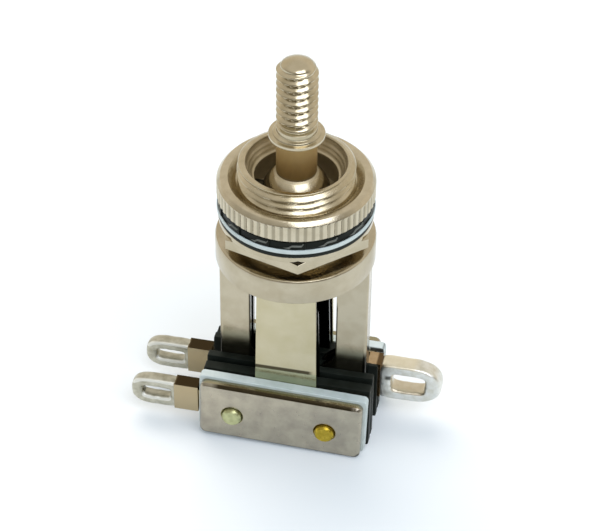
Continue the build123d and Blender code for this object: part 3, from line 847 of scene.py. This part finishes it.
def solder_loop(name, material, outside, slot, y_span, powers, swell_by, seed):
    """Solder that wraps a lug's loop: a rounded section carried round the slot's outline.

    outside and slot are the loop's and the slot's spans in X and in Z. Both edges are
    superellipses in polar form, the outer one squarer on the side towards the axis, and
    the section goes from one to the other. The section is itself a superellipse across
    the loop and through the sheet, swollen by lumps.
    """
    square_by, round_by, section_by = powers
    loop_turn = np.linspace(0, FULL_TURN, POINTS_ROUND_LOOP)[:, None]
    section_turn = np.linspace(0, FULL_TURN, POINTS_ROUND_SECTION)[None, :]
    rightward, upward = np.cos(loop_turn), np.sin(loop_turn)

    def edge(spans, power):
        stretch = (np.abs(rightward) ** power + np.abs(upward) ** power) ** (-1 / power)
        (centre_x, half_x), (centre_z, half_z) = map(centre_and_half, spans)
        return centre_x + half_x * stretch * rightward, centre_z + half_z * stretch * upward

    towards_axis = eased(-rightward * np.sign(sum(outside[0])), -0.2, 0.2)
    outer_x, outer_z = edge(outside, round_by + (square_by - round_by) * towards_axis)
    inner_x, inner_z = edge(slot, SLOT_POWER)
    bumps = 1 + swell_by * lumps(loop_turn + 0 * section_turn, section_turn + 0 * loop_turn, seed)

    def squared(wave):
        return np.sign(wave) * np.abs(wave) ** section_by

    across = 0.5 + 0.5 * squared(np.cos(section_turn)) * bumps
    through = squared(np.sin(section_turn)) * bumps
    centre_y, half_y = centre_and_half(y_span)
    points = np.stack(
        [
            inner_x + (outer_x - inner_x) * across,
            centre_y + half_y * through,
            inner_z + (outer_z - inner_z) * across,
        ],
        -1,
    )
    piece = grid_piece(name, points, sharp=75)
    place(piece, "switch_body", material, "nickel_silver")


lug_outside = ((-17.2, -11.9), (FLOOR_Z + 1.55, FLOOR_Z + 5.25))
lug_slot = ((-15.9, -12.85), (FLOOR_Z + 2.8, FLOOR_Z + 4.05))
lug_powers = (7.0, 2.7, 0.72)
for side, y_span, seed in (("front", (-4.06, -2.5), 3), ("rear", (2.0, 3.6), 8)):
    name = side + "_lug_solder"
    solder_loop(name, solder, lug_outside, lug_slot, y_span, lug_powers, 0.014, seed)
common_outside = ((8.9, 15.75), (FLOOR_Z + 2.5, FLOOR_Z + 7.3))
common_slot = ((10.35, 13.95), (FLOOR_Z + 3.8, FLOOR_Z + 6.05))
solder_loop(
    "common_lug_solder",
    fresh_solder,
    common_outside,
    common_slot,
    (1.4, 3.45),
    (8.0, 2.3, 0.42),
    0.016,
    5,
)

# ---------------------------------------------------------------- finishes of the other solids
for node, material in {
    "pivot_pin": drawn_steel,
    "actuator_cam": cam_nylon,
    "core_spacer": black_fibre,
    "front_long_contact": contact_silver,
    "rear_long_contact": contact_silver,
    "front_short_contact": contact_silver,
    "rear_short_contact": contact_silver,
}.items():
    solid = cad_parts[node]
    solid.data.materials.clear()
    solid.data.materials.append(material)

# ---------------------------------------------------------------- floor, backdrop and light
FLOOR_HALF = 900
FLOOR_GLOW = 0.16
GLOW_COLOUR = (0.8, 0.94, 1.06, 1)
ROOM_LIGHT = (0.46, 0.54, 0.6, 1)  # what lights dull surfaces
FRONT_TENT = (0.2, 0.195, 0.175, 1)
LEFT_TENT = (0.5, 0.48, 0.43, 1)
BACK_TENT = (0.88, 0.82, 0.71, 1)
LOW_TENT = (0.9, 0.89, 0.84, 1)
TOP_TENT = (0.78, 0.75, 0.68, 1)
WHITE = (1, 1, 1, 1)
LAMP_DISTANCE = 500


def seen_directly(tree):
    """1 for a ray from the camera or one that bounced off gloss or passed through, else 0."""
    path = add(tree, "LightPath")
    rays = (path["Is Camera Ray"], path["Is Glossy Ray"])
    first = add(tree, "Math", rays, operation="MAXIMUM")[0]
    return add(tree, "Math", (first, path["Is Transmission Ray"]), operation="MAXIMUM")[0]


def lay_floor():
    """White sheet that the switch stands on; it adds its own white only to what sees it."""
    edge, height = FLOOR_HALF * MM, FLOOR_Z * MM
    sides = ((-edge, -edge), (edge, -edge), (edge, edge), (-edge, edge))
    mesh = bpy.data.meshes.new("floor")
    mesh.from_pydata([(*corner, height) for corner in sides], [], [(0, 1, 2, 3)])
    sheet = new_object("floor", mesh)
    material, tree, shader, _ = start_material("white paper sweep", 0.0, 0.9)
    shader.inputs["Base Color"].default_value = linear("e8e6e3")
    shader.inputs["Specular IOR Level"].default_value = 0.0
    shader.inputs["Emission Color"].default_value = GLOW_COLOUR
    glow = add(tree, "Math", (seen_directly(tree), FLOOR_GLOW), operation="MULTIPLY")[0]
    tree.links.new(glow, shader.inputs["Emission Strength"])
    mesh.materials.append(material)


def light_room():
    """World: white for the camera, even cool light for dull surfaces, a tent for gloss.

    The tent is pale just above the floor and on top. Between them it is tan behind, dark
    in front and lighter on the left.
    """
    world = bpy.data.worlds.new("light tent")
    bpy.context.scene.world = world
    world.use_nodes = True
    tree = world.node_tree
    background = tree.nodes["Background"]
    axes = add(tree, "SeparateXYZ", (add(tree, "TexCoord")["Generated"],))
    left = add(tree, "MapRange", (axes["X"], 0.2, -0.9, 0, 1))[0]
    behind = add(tree, "MapRange", (axes["Y"], -0.35, 0.35, 0, 1))[0]
    low = add(tree, "MapRange", (axes["Z"], 0.02, 0.2, 1, 0))[0]
    high = add(tree, "MapRange", (axes["Z"], 0.5, 0.82, 0, 1))[0]
    path = add(tree, "LightPath")
    colour = FRONT_TENT
    for share, other in (
        (left, LEFT_TENT),
        (behind, BACK_TENT),
        (low, LOW_TENT),
        (high, TOP_TENT),
        (path["Is Diffuse Ray"], ROOM_LIGHT),
        (path["Is Camera Ray"], WHITE),
    ):
        colour = add(tree, "Mix", {0: share, 6: colour, 7: other}, data_type="RGBA")[2]
    tree.links.new(colour, background.inputs["Color"])


def hang_softbox(name, azimuth, elevation, width, height, power, colour, glossy=True):
    """Rectangular lamp that faces the switch from a direction given in degrees."""
    direction = towards(radians(azimuth), radians(elevation))
    lamp = bpy.data.lights.new(name, "AREA")
    lamp.shape = "RECTANGLE"
    lamp.size = width * MM
    lamp.size_y = height * MM
    lamp.energy = power
    lamp.color = colour
    holder = new_object(name, lamp)
    holder.location = direction * LAMP_DISTANCE * MM
    holder.rotation_euler = direction.to_track_quat("Z", "Y").to_euler()
    holder.visible_glossy = glossy


lay_floor()
light_room()
hang_softbox("key softbox", 40, 54, 410, 300, 1.2, (0.93, 0.99, 1.12))
hang_softbox("window behind", -150, 52, 420, 420, 1.7, (1.0, 0.93, 0.84), glossy=False)

bpy.context.scene.view_settings.view_transform = "Standard"
